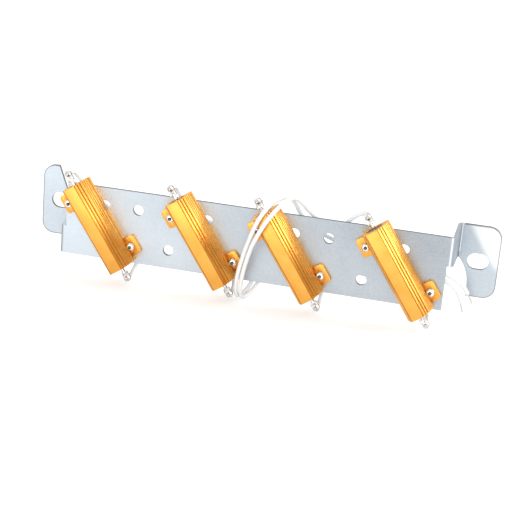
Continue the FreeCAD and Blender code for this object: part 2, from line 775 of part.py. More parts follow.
def make_solder():
    """Solder at each lug: a plug in the hole round the strand, and a low cone behind the lug."""
    inner = size("strand_diameter").value / 2
    hole = size("lug_hole").value / 2
    flare = size("solder_diameter").value / 2
    half = size("lug_thickness").value / 2
    rise = size("solder_rise").value
    joint = turned_profile([
        (inner, -half - rise), (flare, -half), (hole, -half), (hole, half), (flare * 0.85, half),
        (inner, half + rise)])
    joints = []
    for seat in SEATS:
        for end in LUG_SIDE:
            copy = joint.copy()
            copy.Placement = Placement(lug_point(seat, end), Rotation(Vector(1, 0, 0), 90))
            joints.append(copy)
    return make_group("solder_joints", joints)


sub_parts = [make_strip()]
for seat in SEATS:
    sub_parts.append(make_housing(seat))
    sub_parts += make_inside(seat)
sub_parts += make_rivets()
sub_parts += make_wiring()
sub_parts.append(make_solder())
doc.recompute()

for item in doc.Objects:
    if "Invalid" in item.State or "Error" in item.State:
        raise RuntimeError("%s failed: %s" % (item.Name, item.State))
os.makedirs("parts", exist_ok=True)
for item in sub_parts:
    if item.Shape.isNull() or not item.Shape.isValid():
        raise RuntimeError(item.Label + " has no valid shape")
    item.Shape.exportStep("parts/%s.step" % item.Label)
print("%d sub-parts written" % len(sub_parts))
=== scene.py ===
import math

import bmesh
import bpy
from mathutils import Matrix, Vector


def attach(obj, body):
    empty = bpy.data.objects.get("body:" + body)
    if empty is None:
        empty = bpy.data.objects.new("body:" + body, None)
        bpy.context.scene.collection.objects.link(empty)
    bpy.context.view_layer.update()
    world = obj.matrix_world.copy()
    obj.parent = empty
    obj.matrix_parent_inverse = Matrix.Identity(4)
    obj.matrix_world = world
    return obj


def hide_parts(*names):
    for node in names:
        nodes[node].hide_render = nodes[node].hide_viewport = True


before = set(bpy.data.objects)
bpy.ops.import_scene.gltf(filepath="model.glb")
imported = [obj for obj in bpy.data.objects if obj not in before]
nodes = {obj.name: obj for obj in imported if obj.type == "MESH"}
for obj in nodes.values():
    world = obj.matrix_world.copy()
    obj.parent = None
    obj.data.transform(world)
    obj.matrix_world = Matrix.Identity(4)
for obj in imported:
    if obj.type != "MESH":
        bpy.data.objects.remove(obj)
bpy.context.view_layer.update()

# Mounting strip. A strip of 2 mm sheet steel, punched, bent twice at each end and bright zinc
# plated. The plating has a faint blue cast and rolled grain; sheared edges are rougher and darker.

# the two ends of the painted light on the coat: painted lit zinc and painted shaded zinc
ZINC_PAINTED_LIT = (0.68, 0.755, 0.82)
ZINC_PAINTED_SHADED = (0.31, 0.342, 0.37)
# the painted shade on the webs, then the painted highlight on the bends
ZINC_WEB_PAINTED_SHADE = (0.31, 0.34, 0.39)
ZINC_BEND_PAINTED_HIGHLIGHT = (0.74, 0.79, 0.83)
# the painted glare on one corner of the right ear
ZINC_CORNER_PAINTED_GLARE = (0.80, 0.83, 0.85)
# the colour of sheared edges, which is also used for the painted shade round the ears' outlines
SHEARED_EDGE_AND_PAINTED_SHADE = (0.19, 0.185, 0.18)
# in metres from the middle of the strip: where its flat front ends, between what marks each web
# stands, how high the notch under a neck goes, and where the arcs of an ear's corners are centred
FRONT_END = 0.1095
WEB_INSIDE, WEB_OUTSIDE = 0.1078, 0.1125
NOTCH_TOP = 0.0046
EAR_ARC_OUT, EAR_ARC_UP = 0.1265, 0.01365
# how far from those centres the band of burr and painted edge shade round an ear starts and ends
EAR_EDGE_BAND_FROM, EAR_EDGE_BAND_TO = 0.0062, 0.0068


def new_material(name):
    """A node material, its tree and its own Principled shader."""
    material = bpy.data.materials.new(name)
    material.use_nodes = True
    return material, material.node_tree, material.node_tree.nodes["Principled BSDF"]


def add_node(tree, kind, inputs, **settings):
    """A node with its settings made first, then each input set to a value or linked to a socket."""
    node = tree.nodes.new(kind)
    for setting, value in settings.items():
        setattr(node, setting, value)
    for socket, value in inputs.items():
        if isinstance(value, bpy.types.NodeSocket):
            tree.links.new(value, node.inputs[socket])
        else:
            node.inputs[socket].default_value = value
    return node


def place_vector(tree, turn=(0.0, 0.0, 0.0)):
    """Object coordinates, turned where a pattern has to run along a slanting body."""
    coordinates = tree.nodes.new("ShaderNodeTexCoord").outputs["Object"]
    return add_node(tree, "ShaderNodeMapping", {"Vector": coordinates, "Rotation": turn}).outputs["Vector"]


def noise(tree, vector, scale, detail=2.0):
    inputs = {"Vector": vector, "Scale": scale, "Detail": detail}
    return add_node(tree, "ShaderNodeTexNoise", inputs).outputs["Fac"]


DRAWN_OUT = (0.03, 1.0, 1.0)


def drawn_grain_group():
    """Fine streaks that run along the first axis of a vector, with broad patches over them."""
    group = bpy.data.node_groups.new("drawn_grain", "ShaderNodeTree")
    for name, kind, way in (
            ("Vector", "NodeSocketVector", "INPUT"), ("Streak Scale", "NodeSocketFloat", "INPUT"),
            ("Patch Scale", "NodeSocketFloat", "INPUT"), ("Streaks", "NodeSocketFloat", "OUTPUT"),
            ("Patches", "NodeSocketFloat", "OUTPUT")):
        group.interface.new_socket(name, in_out=way, socket_type=kind)
    given = group.nodes.new("NodeGroupInput").outputs
    result = group.nodes.new("NodeGroupOutput").inputs
    along_grain = add_node(group, "ShaderNodeVectorMath", {0: given["Vector"], 1: DRAWN_OUT},
                           operation="MULTIPLY").outputs["Vector"]
    group.links.new(noise(group, along_grain, given["Streak Scale"], 3.0), result["Streaks"])
    group.links.new(noise(group, given["Vector"], given["Patch Scale"]), result["Patches"])
    return group


drawn_grain = drawn_grain_group()


def grain(tree, vector, streak_scale, patch_scale):
    """The drawn grain in one material, as its streaks and its patches."""
    inputs = {"Vector": vector, "Streak Scale": streak_scale, "Patch Scale": patch_scale}
    outputs = add_node(tree, "ShaderNodeGroup", inputs, node_tree=drawn_grain).outputs
    return outputs["Streaks"], outputs["Patches"]


zinc, tree, shader = new_material("bright_zinc_plate")
streaks, patches = grain(tree, place_vector(tree), 2200.0, 60.0)
spangle = noise(tree, place_vector(tree), 900.0, 3.0)


def compute(tree, operation, *values):
    """One step of arithmetic on sockets and numbers."""
    return add_node(tree, "ShaderNodeMath", dict(enumerate(values)), operation=operation).outputs[0]


def sum_of(tree, *shares):
    """Adds up values, each times its share."""
    total = 0.0
    for value, share in shares:
        total = compute(tree, "MULTIPLY_ADD", value, share, total)
    return total


def spread(tree, value, low, high, to_low=0.0, to_high=1.0):
    """Carries the range low to high over to another one, with soft ends."""
    inputs = {"Value": value, "From Min": low, "From Max": high, "To Min": to_low, "To Max": to_high}
    return add_node(tree, "ShaderNodeMapRange", inputs, interpolation_type="SMOOTHSTEP").outputs["Result"]


def mix_colour(tree, share, first, second):
    """Mixes two colours, each of them three numbers or a socket."""
    ends = [(*colour, 1) if isinstance(colour, tuple) else colour for colour in (first, second)]
    return add_node(tree, "ShaderNodeMix", {0: share, 6: ends[0], 7: ends[1]}, data_type="RGBA").outputs[2]


def parts_of(tree, vector):
    """A vector's X, Y and Z."""
    return add_node(tree, "ShaderNodeSeparateXYZ", {0: vector}).outputs


# painted light: the coat is painted brighter toward the strip's left end, along its lower edge and over the
# right ear, where light and reflections fall; the grain's tone is added on top
tone = sum_of(tree, (streaks, 0.15), (patches, 0.40), (spangle, 0.45))
spot = parts_of(tree, tree.nodes.new("ShaderNodeTexCoord").outputs["Object"])
reach = compute(tree, "ABSOLUTE", spot["X"])
painted_lower_light = spread(tree, spot["Z"], -0.018, 0.018, 0.20, 0.0)
painted_light_and_grain = compute(tree, "MULTIPLY_ADD", painted_lower_light, compute(tree, "LESS_THAN", reach, FRONT_END),
                     spread(tree, spot["X"], -0.15, 0.14, 0.74, 0.0))
painted_light_and_grain = compute(tree, "MAXIMUM", painted_light_and_grain, spread(tree, spot["X"], 0.110, 0.113, 0.0, 0.42))
painted_light_and_grain = compute(tree, "ADD", painted_light_and_grain, spread(tree, tone, 0.34, 0.66, 0.0, 0.2))
plating = mix_colour(tree, painted_light_and_grain, ZINC_PAINTED_SHADED, ZINC_PAINTED_LIT)
# sheared faces look up, down or out along the strip, where no web stands
facing = parts_of(tree, tree.nodes.new("ShaderNodeNewGeometry").outputs["True Normal"])
side_on = compute(tree, "ABSOLUTE", facing["X"])
up_or_down = compute(tree, "GREATER_THAN", compute(tree, "ABSOLUTE", facing["Z"]), 0.25)
outward = compute(tree, "GREATER_THAN", side_on, 0.7)
on_ear = compute(tree, "GREATER_THAN", reach, WEB_OUTSIDE)
off_web = compute(tree, "MAXIMUM", compute(tree, "LESS_THAN", reach, WEB_INSIDE), on_ear)
sheared = compute(tree, "MULTIPLY", compute(tree, "MAXIMUM", up_or_down, outward), off_web)
# painted shade and highlight: the webs are painted dark, and the bends beside them are painted bright down to
# the notch
on_web = compute(tree, "SUBTRACT", 1.0, off_web)
painted_web_shade = compute(tree, "MULTIPLY", spread(tree, side_on, 0.5, 0.8), on_web)
plating = mix_colour(tree, painted_web_shade, plating, ZINC_WEB_PAINTED_SHADE)
above_notch = compute(tree, "GREATER_THAN", spot["Z"], NOTCH_TOP)
painted_bend_highlight = compute(tree, "MULTIPLY", spread(tree, side_on, 0.1, 0.3),
                  spread(tree, side_on, 0.4, 0.6, 1.0, 0.0))
plating = mix_colour(tree, compute(tree, "MULTIPLY", painted_bend_highlight, above_notch), plating, ZINC_BEND_PAINTED_HIGHLIGHT)
below_notch = compute(tree, "MULTIPLY", spread(tree, side_on, 0.25, 0.6, 0.0, 0.6),
                      compute(tree, "SUBTRACT", 1.0, above_notch))
# a band round each ear's outline is darker, partly the burr and partly painted shade of the edge the punch
# rolled over
above_arc = compute(tree, "SUBTRACT", compute(tree, "ABSOLUTE", spot["Z"]), EAR_ARC_UP)
beyond_arc = compute(tree, "SUBTRACT", reach, EAR_ARC_OUT)
above_arc, beyond_arc = (compute(tree, "MAXIMUM", value, 0.0) for value in (above_arc, beyond_arc))
from_arc = compute(tree, "SQRT", compute(tree, "MULTIPLY_ADD", beyond_arc, beyond_arc,
                                         compute(tree, "MULTIPLY", above_arc, above_arc)))
burr_and_painted_edge_shade = compute(tree, "MULTIPLY", spread(tree, from_arc, EAR_EDGE_BAND_FROM, EAR_EDGE_BAND_TO, 0.0, 0.8), on_ear)
# painted glare: the upper right corner of the right ear is painted brighter, with a slanting edge to the
# patch
slant = sum_of(tree, (spot["Z"], 0.555), (spot["X"], 0.833))
painted_corner_glare = compute(tree, "MULTIPLY", spread(tree, slant, 0.1056, 0.1100),
                       spread(tree, spot["Z"], -0.007, 0.001))
plating = mix_colour(tree, compute(tree, "MULTIPLY", painted_corner_glare, on_ear), plating, ZINC_CORNER_PAINTED_GLARE)
# sheared faces and the notch's cut faces take the sheared colour, and the band round the ears takes it as
# painted shade
dark = compute(tree, "MAXIMUM", below_notch, compute(tree, "MAXIMUM", sheared, burr_and_painted_edge_shade))
tree.links.new(mix_colour(tree, dark, plating, SHEARED_EDGE_AND_PAINTED_SHADE), shader.inputs["Base Color"])
rough = compute(tree, "MULTIPLY_ADD", sheared, 0.2, spread(tree, patches, 0.3, 0.7, 0.31, 0.38))
tree.links.new(rough, shader.inputs["Roughness"])
shader.inputs["Metallic"].default_value = 0.9
# the sheet was rolled crosswise, so what it mirrors is drawn out along the strip
along_strip = add_node(tree, "ShaderNodeCombineXYZ", {"X": 1.0}).outputs[0]
tree.links.new(along_strip, shader.inputs["Tangent"])
shader.inputs["Anisotropic"].default_value = 0.8


def bump(tree, shader, height, distance, strength):
    """Relief from a height, for one shader."""
    inputs = {"Height": height, "Distance": distance, "Strength": strength}
    node = add_node(tree, "ShaderNodeBump", inputs)
    tree.links.new(node.outputs["Normal"], shader.inputs["Normal"])


def dress(piece, material):
    """Give a piece one material all over."""
    piece.data.materials.clear()
    piece.data.materials.append(material)
    if piece.type == "MESH":
        for polygon in piece.data.polygons:
            polygon.material_index = 0


bump(tree, shader, compute(tree, "MULTIPLY_ADD", streaks, 0.3, spangle), 0.00003, 0.3)
dress(nodes["mounting_strip"], zinc)

# Resistor housings. Aluminium extrusions, cut to length and gold anodised, with a flat face for the
# rating, finned shoulders, a bore for the element and two fixing tabs. Slightly rounded all over.

MM = 0.001
# in metres: where each body sits along the strip, and how far off its middle line
SEATS = {"1": -0.086401, "2": -0.027301, "3": 0.021801, "4": 0.082101}
SEAT_UP = -0.00035
LEAN = math.radians(55.6)
STRIP_FRONT = -0.0335
# the rest is in millimetres, in a resistor's own frame: along it, across it and off the strip. The
# flank rises from its foot to the knee, and the shoulder from there to the face and its fine groove
HOUSING_LENGTH = 53.0
HOUSING_HEIGHT = 15.5
HALF_WIDTH = 15.5 / 2
FLANGE = 2.24
WAIST_HEIGHT = 1.6
FLANK_FOOT = 5.6
KNEE_IN, KNEE_DOWN = 1.25, 5.5
FACE_HALF, FACE_GROOVE = 3.8, 0.45
GROOVE_SUNK = 0.6
SECTION_ROUNDING = 0.16
SAWN_EDGE = 0.15
BORE_UP = 6.6
BORE = 9.6
FIXING = (18.7, 9.7)
TAB_OUT = 13.7
TAB_LENGTH = 11.0
TAB_CORNER = 1.8
TAB_OVERLAP = 0.3
TAB_EDGE = 0.12
RIVET_HOLE = 3.3
GOLD_DEEP = (0.74, 0.345, 0.062)
GOLD_LIGHT = (0.81, 0.425, 0.092)
# the painted shade deep in the grooves
GROOVE_PAINTED_SHADE = (0.56, 0.25, 0.032)


def seat_matrix(seat):
    """From a resistor's own frame (along, across, off the strip) in millimetres to the row frame."""
    turn = Matrix((
        (math.cos(LEAN), math.sin(LEAN), 0.0),
        (0.0, 0.0, -1.0),
        (-math.sin(LEAN), math.cos(LEAN), 0.0)))
    place = Matrix.Translation((SEATS[seat], STRIP_FRONT, SEAT_UP))
    return place @ turn.to_4x4() @ Matrix.Scale(MM, 4)


def rounded(points, radius, steps=3, hardly_turned=1.5, share_of_side=0.45):
    """The closed outline with each corner taken off by an arc, apart from those that hardly turn."""
    result = []
    count = len(points)
    for number, corner in enumerate(points):
        corner = Vector(corner)
        before = Vector(points[number - 1]) - corner
        after = Vector(points[(number + 1) % count]) - corner
        half = before.angle(after) / 2
        if half > hardly_turned:
            result.append(corner)
            continue
        reach = min(radius / math.tan(half), before.length * share_of_side, after.length * share_of_side)
        start = corner + before.normalized() * reach
        end = corner + after.normalized() * reach
        for step in range(steps + 1):
            share = step / steps
            result.append(start.lerp(corner, share).lerp(corner.lerp(end, share), share))
    return result


def circle_points(x, y, radius, count=40):
    angles = [2 * math.pi * n / count for n in range(count)]
    return [Vector((x + radius * math.cos(angle), y + radius * math.sin(angle))) for angle in angles]


def set_down(name, data):
    """A new object of the scene, at its origin and unturned."""
    piece = bpy.data.objects.new(name, data)
    bpy.context.scene.collection.objects.link(piece)
    return piece


def plain_mesh(piece):
    """What a curve, or a piece with its modifiers, comes to."""
    return bpy.data.meshes.new_from_object(piece.evaluated_get(bpy.context.evaluated_depsgraph_get()))


def flat_solid(name, loops, thickness, edge):
    """A plate of that thickness, centred on Z = 0, from flat outlines; its edges are rounded by edge."""
    curve = bpy.data.curves.new(name, "CURVE")
    curve.dimensions = "2D"
    curve.fill_mode = "BOTH"
    curve.extrude = thickness / 2 - edge
    curve.bevel_depth = edge
    curve.bevel_resolution = 1
    curve.offset = -edge
    for loop in loops:
        spline = curve.splines.new("POLY")
        spline.points.add(len(loop) - 1)
        for point, (x, y) in zip(spline.points, loop):
            point.co = (x, y, 0, 1)
        spline.use_cyclic_u = True
    carrier = set_down(name, curve)
    mesh = plain_mesh(carrier)
    bpy.data.objects.remove(carrier)
    return mesh


def shade_by_angle(piece, degrees):
    piece.data.polygons.foreach_set("use_smooth", [True] * len(piece.data.polygons))
    piece.data.set_sharp_from_angle(angle=math.radians(degrees))


def housing_outline():
    """The extrusion's section, across and up.

    It has three grooves in each flank, two in each shoulder and a fine one along each side of the face.
    """
    foot = (HALF_WIDTH, FLANK_FOOT)
    knee = (HALF_WIDTH - KNEE_IN, HOUSING_HEIGHT - KNEE_DOWN)
    brow = (FACE_HALF, HOUSING_HEIGHT)
    waist = HALF_WIDTH - GROOVE_SUNK
    waist_top = FLANGE + WAIST_HEIGHT
    corners = [(HALF_WIDTH, 0.0), (HALF_WIDTH, FLANGE), (waist, FLANGE), (waist, waist_top),
               (HALF_WIDTH, waist_top), foot]
    # each stretch has its ends, how its grooves sink, where they start and how wide they are, as shares
    for start, end, sink, shares, wide in (
            (foot, knee, (-GROOVE_SUNK, 0.0), (0.1, 0.46, 0.82), 0.12),
            (knee, brow, (-GROOVE_SUNK * 0.9, -GROOVE_SUNK * 0.45), (0.24, 0.6), 0.14)):
        for share in shares:
            for step, sunk in ((share, 0), (share, 1), (share + wide, 1), (share + wide, 0)):
                corners.append((start[0] + (end[0] - start[0]) * step + sink[0] * sunk,
                                start[1] + (end[1] - start[1]) * step + sink[1] * sunk))
        corners.append(end)
    face_edge, face_low = FACE_HALF - FACE_GROOVE, HOUSING_HEIGHT - GROOVE_SUNK
    corners += [(FACE_HALF, face_low), (face_edge, face_low), (face_edge, HOUSING_HEIGHT)]
    return corners + [(-x, y) for x, y in reversed(corners)]


def tab_outlines(side):
    """A fixing tab seen from the front, with its outer corners rounded, and its rivet hole."""
    near, far = FIXING[0] - TAB_LENGTH / 2, FIXING[0] + TAB_LENGTH / 2
    root = HALF_WIDTH - TAB_OVERLAP
    arc = [math.pi / 12 * n for n in range(7)]
    cut = [(TAB_CORNER * (1 - math.cos(angle)), TAB_CORNER * (1 - math.sin(angle))) for angle in arc]
    plan = [(near, root), (far, root)]
    plan += [(far - by_cos, TAB_OUT - by_sin) for by_cos, by_sin in cut]
    plan += [(near + by_sin, TAB_OUT - by_cos) for by_cos, by_sin in cut]
    return [[(x * side, y * side) for x, y in plan],
            circle_points(FIXING[0] * side, FIXING[1] * side, RIVET_HOLE / 2)]


def groove_depth(across, up):
    """How far a spot of the section lies below its crests, as a share of a groove's depth."""
    knee_up = HOUSING_HEIGHT - KNEE_DOWN
    on_tab = across > HALF_WIDTH + 0.05
    on_bore_or_face = across < 3.0
    on_foot = up < 2.0
    if on_tab or on_bore_or_face or on_foot:
        return 0.0
    if up > HOUSING_HEIGHT - 0.7 and across < FACE_HALF + 0.4:
        return min(1.0, (HOUSING_HEIGHT - up) / GROOVE_SUNK)
    # the crests' distance from the middle, then the share of it that a groove's slope leaves
    if up < knee_up:
        crest = HALF_WIDTH - KNEE_IN * max(0.0, up - FLANK_FOOT) / (knee_up - FLANK_FOOT)
        below = (crest - across) * 0.8
    else:
        crest = HALF_WIDTH - KNEE_IN - (HALF_WIDTH - KNEE_IN - FACE_HALF) * (up - knee_up) / KNEE_DOWN
        below = (crest - across) * 0.9
    return max(0.0, min(1.0, below / GROOVE_SUNK))


def make_housing(seat):
    """The extrusion and its two tabs in one mesh, with each spot's groove depth kept in a UV map."""
    place = seat_matrix(seat)
    # the section is drawn across and up, and its thickness runs along the resistor
    along = Matrix(((0, 0, 1, 0), (1, 0, 0, 0), (0, 1, 0, 0), (0, 0, 0, 1)))
    section = [rounded(housing_outline(), SECTION_ROUNDING), circle_points(0, BORE_UP, BORE / 2, 56)]
    parts = [(flat_solid("section", section, HOUSING_LENGTH, SAWN_EDGE), place @ along)]
    for side in (1, -1):
        tab = flat_solid("tab", tab_outlines(side), FLANGE, TAB_EDGE)
        parts.append((tab, place @ Matrix.Translation((0, 0, FLANGE / 2))))
    gathered = bmesh.new()
    for mesh, where in parts:
        mesh.transform(where)
        gathered.from_mesh(mesh)
    bmesh.ops.remove_doubles(gathered, verts=gathered.verts, dist=2e-6)
    bmesh.ops.recalc_face_normals(gathered, faces=gathered.faces)
    whole = bpy.data.meshes.new("finned_housing_" + seat)
    gathered.to_mesh(whole)
    gathered.free()
    piece = set_down("finned_housing_" + seat, whole)
    shade_by_angle(piece, 35.0)
    to_seat = place.inverted()
    lengthwise = Vector((math.cos(LEAN), 0.0, -math.sin(LEAN)))
    depth_map = whole.uv_layers.new(name="groove_depth")
    for polygon in whole.polygons:
        sawn = abs(polygon.normal.dot(lengthwise)) > 0.5
        for number in polygon.loop_indices:
            spot = to_seat @ whole.vertices[whole.loops[number].vertex_index].co
            depth = 0.0 if sawn else groove_depth(abs(spot.y), spot.z)
            depth_map.data[number].uv = (depth, spot.x / HOUSING_LENGTH)
    return piece


gold, tree, shader = new_material("gold_anodised_aluminium")
streaks, patches = grain(tree, place_vector(tree, turn=(0.0, -LEAN, 0.0)), 3400.0, 120.0)
tone = sum_of(tree, (streaks, 0.35), (patches, 0.65))
skin = mix_colour(tree, spread(tree, tone, 0.25, 0.75), GOLD_DEEP, GOLD_LIGHT)
# painted shade: the grooves are painted darker the deeper they lie, where how far a spot lies below the
# crests is kept in the UV map
depth_map = add_node(tree, "ShaderNodeUVMap", {}, uv_map="groove_depth")
painted_groove_shade = spread(tree, parts_of(tree, depth_map.outputs["UV"])["X"], 0.4, 1.0)
tree.links.new(mix_colour(tree, painted_groove_shade, skin, GROOVE_PAINTED_SHADE), shader.inputs["Base Color"])
tree.links.new(spread(tree, patches, 0.3, 0.7, 0.38, 0.46), shader.inputs["Roughness"])
shader.inputs["Metallic"].default_value = 1.0
bump(tree, shader, streaks, 0.00002, 0.2)
for seat in SEATS:
    housing = make_housing(seat)
    dress(housing, gold)
    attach(housing, "root")
    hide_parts("housing_" + seat)

# Inside each housing: a ceramic core with end caps, wound with resistance wire and moulded in.
# Dark resin closes the bore at both ends, round the pin.


def toned_material(name, scale, dark, light, roughness, metallic=0.0, detail=2.0, relief=None):
    """A material whose colour follows a noise, and its roughness and relief too where they vary."""
    material, tree, shader = new_material(name)
    tone = noise(tree, place_vector(tree), scale, detail)
    tree.links.new(mix_colour(tree, tone, dark, light), shader.inputs["Base Color"])
    if isinstance(roughness, tuple):
        tree.links.new(spread(tree, tone, 0.3, 0.7, *roughness), shader.inputs["Roughness"])
    else:
        shader.inputs["Roughness"].default_value = roughness
    shader.inputs["Metallic"].default_value = metallic
    if relief:
        bump(tree, shader, tone, *relief)
    return material


ceramic = toned_material("unglazed_ceramic", 500.0, (0.70, 0.66, 0.58), (0.86, 0.83, 0.76), 0.8)
filling = toned_material("moulded_filling", 300.0, (0.10, 0.09, 0.085), (0.17, 0.16, 0.15), 0.7)
resin = toned_material("dark_end_resin", 700.0, (0.045, 0.035, 0.03), (0.11, 0.09, 0.075), (0.35, 0.6),
                       detail=3.0, relief=(0.0001, 0.5))
cap_metal = toned_material("plated_cap", 800.0, (0.5, 0.5, 0.48), (0.66, 0.66, 0.63), 0.4, metallic=1.0)

winding, tree, shader = new_material("resistance_wire_turns")
lengthwise = place_vector(tree, turn=(0.0, -LEAN, 0.0))
turns = add_node(tree, "ShaderNodeTexWave", {"Scale": 900.0, "Vector": lengthwise}).outputs["Fac"]
tree.links.new(mix_colour(tree, turns, (0.20, 0.19, 0.18), (0.52, 0.50, 0.47)), shader.inputs["Base Color"])
shader.inputs["Metallic"].default_value = 1.0
shader.inputs["Roughness"].default_value = 0.4
bump(tree, shader, turns, 0.0001, 0.6)

for seat in SEATS:
    dress(nodes["ceramic_core_" + seat], ceramic)
    dress(nodes["resistance_winding_" + seat], winding)
    dress(nodes["moulded_filling_" + seat], filling)
    for end in ("upper", "lower"):
        dress(nodes["end_seal_%s_%s" % (end, seat)], resin)
        dress(nodes["end_cap_%s_%s" % (end, seat)], cap_metal)

# Terminals. Tinned pins that leave the housing through its end seals. Their outer ends are pressed
# flat into lugs and pierced for a wire.

tin, tree, shader = new_material("hot_tinned_lug")
tone = noise(tree, place_vector(tree), 900.0, 3.0)
tinning = mix_colour(tree, spread(tree, tone, 0.3, 0.7), (0.42, 0.41, 0.40), (0.90, 0.89, 0.87))
# painted shade: where a pin or lug faces along the strip, up or down rather than to the front, it is painted
# dark, which gives dark outlines round its rims
facing = parts_of(tree, tree.nodes.new("ShaderNodeNewGeometry").outputs["True Normal"])
painted_rim_shade = spread(tree, compute(tree, "ABSOLUTE", facing["Y"]), 0.30, 0.75, 1.0, 0.0)
tree.links.new(mix_colour(tree, painted_rim_shade, tinning, (0.13, 0.125, 0.12)), shader.inputs["Base Color"])
tree.links.new(spread(tree, tone, 0.3, 0.7, 0.12, 0.3), shader.inputs["Roughness"])
shader.inputs["Metallic"].default_value = 1.0
bump(tree, shader, tone, 0.00006, 0.5)
for seat in SEATS:
    for end in ("upper", "lower"):
        dress(nodes["terminal_%s_%s" % (end, seat)], tin)

# Blind rivets. Aluminium rivets set from the front through tab and strip, each with its broken
# steel mandrel sunk in the head and a swollen tail behind the strip.

FIXING_PLACES = [seat_matrix(seat) @ Vector((FIXING[0] * side, FIXING[1] * side, 0))
                 for seat in SEATS for side in (1, -1)]
# radius and height above the strip's front, in millimetres
RIVET_SLEEVE = [
    (0.85, -5.0), (1.40, -5.0), (2.05, -4.5), (2.30, -4.05), (2.28, -3.2), (2.12, -2.5), (1.73, -2.0),
    (1.60, -2.0), (1.60, 2.24), (2.30, 2.24), (2.40, 2.34), (2.38, 2.52), (2.20, 2.80), (1.85, 3.06),
    (1.45, 3.24), (1.10, 3.33), (0.92, 3.32), (0.85, 3.22)]
RIVET_STUB = [
    (0.02, -5.9), (0.55, -5.9), (0.85, -5.72), (0.97, -5.4), (0.97, -5.0), (0.85, -5.0), (0.85, 2.3),
    (0.70, 2.42), (0.42, 2.52), (0.30, 2.40), (0.02, 2.46)]


def geometry_tree(name, source, sizes):
    """A tree that takes geometry and named sizes: the tree, its given and result, the sizes' identifiers."""
    group = bpy.data.node_groups.new(name, "GeometryNodeTree")
    group.interface.new_socket(source, in_out="INPUT", socket_type="NodeSocketGeometry")
    identifiers = {}
    for label, value in sizes.items():
        kind = "NodeSocketInt" if isinstance(value, int) else "NodeSocketFloat"
        socket = group.interface.new_socket(label, in_out="INPUT", socket_type=kind)
        socket.default_value = value
        identifiers[label] = socket.identifier
    group.interface.new_socket("Geometry", in_out="OUTPUT", socket_type="NodeSocketGeometry")
    given = group.nodes.new("NodeGroupInput").outputs
    result = group.nodes.new("NodeGroupOutput").inputs
    return group, given, result, identifiers


def end_tree(group, geometry, material, result):
    """Makes copies real and covers them with one material."""
    real = add_node(group, "GeometryNodeRealizeInstances", {"Geometry": geometry}).outputs["Geometry"]
    covered = add_node(group, "GeometryNodeSetMaterial", {"Geometry": real, "Material": material})
    group.links.new(covered.outputs["Geometry"], result["Geometry"])


def grow(name, base, group, identifiers, sizes):
    """A piece with the plain mesh that the tree makes of the base."""
    piece = set_down(name, base)
    modifier = piece.modifiers.new("made", "NODES")
    modifier.node_group = group
    for label, value in sizes.items():
        modifier[identifiers[label]] = value
    made = plain_mesh(piece)
    piece.modifiers.clear()
    piece.data = made
    return piece


def turned_and_set(name, profile, closed, material, places, facets=40):
    """Turns a profile, given in millimetres as radius and height, into a piece and sets one at each place."""
    sizes = {"Size": MM, "Facets Round": facets}
    group, given, result, identifiers = geometry_tree(name + "_tree", "Places", sizes)
    flat = bpy.data.curves.new(name + "_profile", "CURVE")
    flat.dimensions = "3D"
    spline = flat.splines.new("POLY")
    spline.points.add(len(profile) - 1)
    for point, (radius, height) in zip(spline.points, profile):
        point.co = (radius, 0, height, 1)
    spline.use_cyclic_u = closed
    carrier = set_down(name + "_profile", flat)
    drawn = add_node(group, "GeometryNodeObjectInfo", {"Object": carrier})
    # the profile's radius and height are kept as they are while it goes round a circle of no size
    circle = add_node(group, "GeometryNodeCurvePrimitiveCircle",
                      {"Resolution": given["Facets Round"], "Radius": 1.0})
    small = add_node(group, "GeometryNodeTransform",
                     {"Geometry": circle.outputs["Curve"], "Scale": (1e-4, 1e-4, 1e-4)})
    upright = add_node(group, "GeometryNodeTransform",
                       {"Geometry": drawn.outputs["Geometry"], "Rotation": (-math.pi / 2, 0.0, 0.0)})
    swept = add_node(group, "GeometryNodeCurveToMesh",
                     {"Curve": small.outputs["Geometry"], "Profile Curve": upright.outputs["Geometry"]})
    copies = add_node(group, "GeometryNodeInstanceOnPoints", {
        "Points": given["Places"], "Instance": swept.outputs["Mesh"],
        "Rotation": (math.pi / 2, 0.0, 0.0), "Scale": given["Size"]})
    end_tree(group, copies.outputs["Instances"], material, result)
    base = bpy.data.meshes.new(name + "_places")
    base.from_pydata([tuple(place) for place in places], [], [])
    piece = grow(name, base, group, identifiers, sizes)
    bpy.data.objects.remove(carrier)
    whole = bmesh.new()
    whole.from_mesh(piece.data)
    bmesh.ops.remove_doubles(whole, verts=whole.verts, dist=1e-6)
    bmesh.ops.recalc_face_normals(whole, faces=whole.faces)
    whole.to_mesh(piece.data)
    whole.free()
    shade_by_angle(piece, 40.0)
    return piece


rivet_metal = toned_material("bright_rivet_aluminium", 1500.0, (0.70, 0.71, 0.72), (0.93, 0.93, 0.93),
                             (0.12, 0.3), metallic=1.0, detail=3.0, relief=(0.00004, 0.4))
sleeves = turned_and_set("set_rivets", RIVET_SLEEVE, True, rivet_metal, FIXING_PLACES)
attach(sleeves, "root")
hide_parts("rivets")
mandrel_steel = toned_material("broken_mandrel_steel", 2500.0, (0.03, 0.03, 0.03), (0.20, 0.20, 0.20), 0.5,
                               metallic=1.0, detail=4.0, relief=(0.0001, 0.8))
stubs = turned_and_set("broken_mandrels", RIVET_STUB, False, mandrel_steel, FIXING_PLACES, facets=24)
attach(stubs, "root")
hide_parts("rivet_mandrels")

# Solder. Each lug's hole is filled with tin solder round the strand, and it has run out into a
# small cone on both faces of the lug.

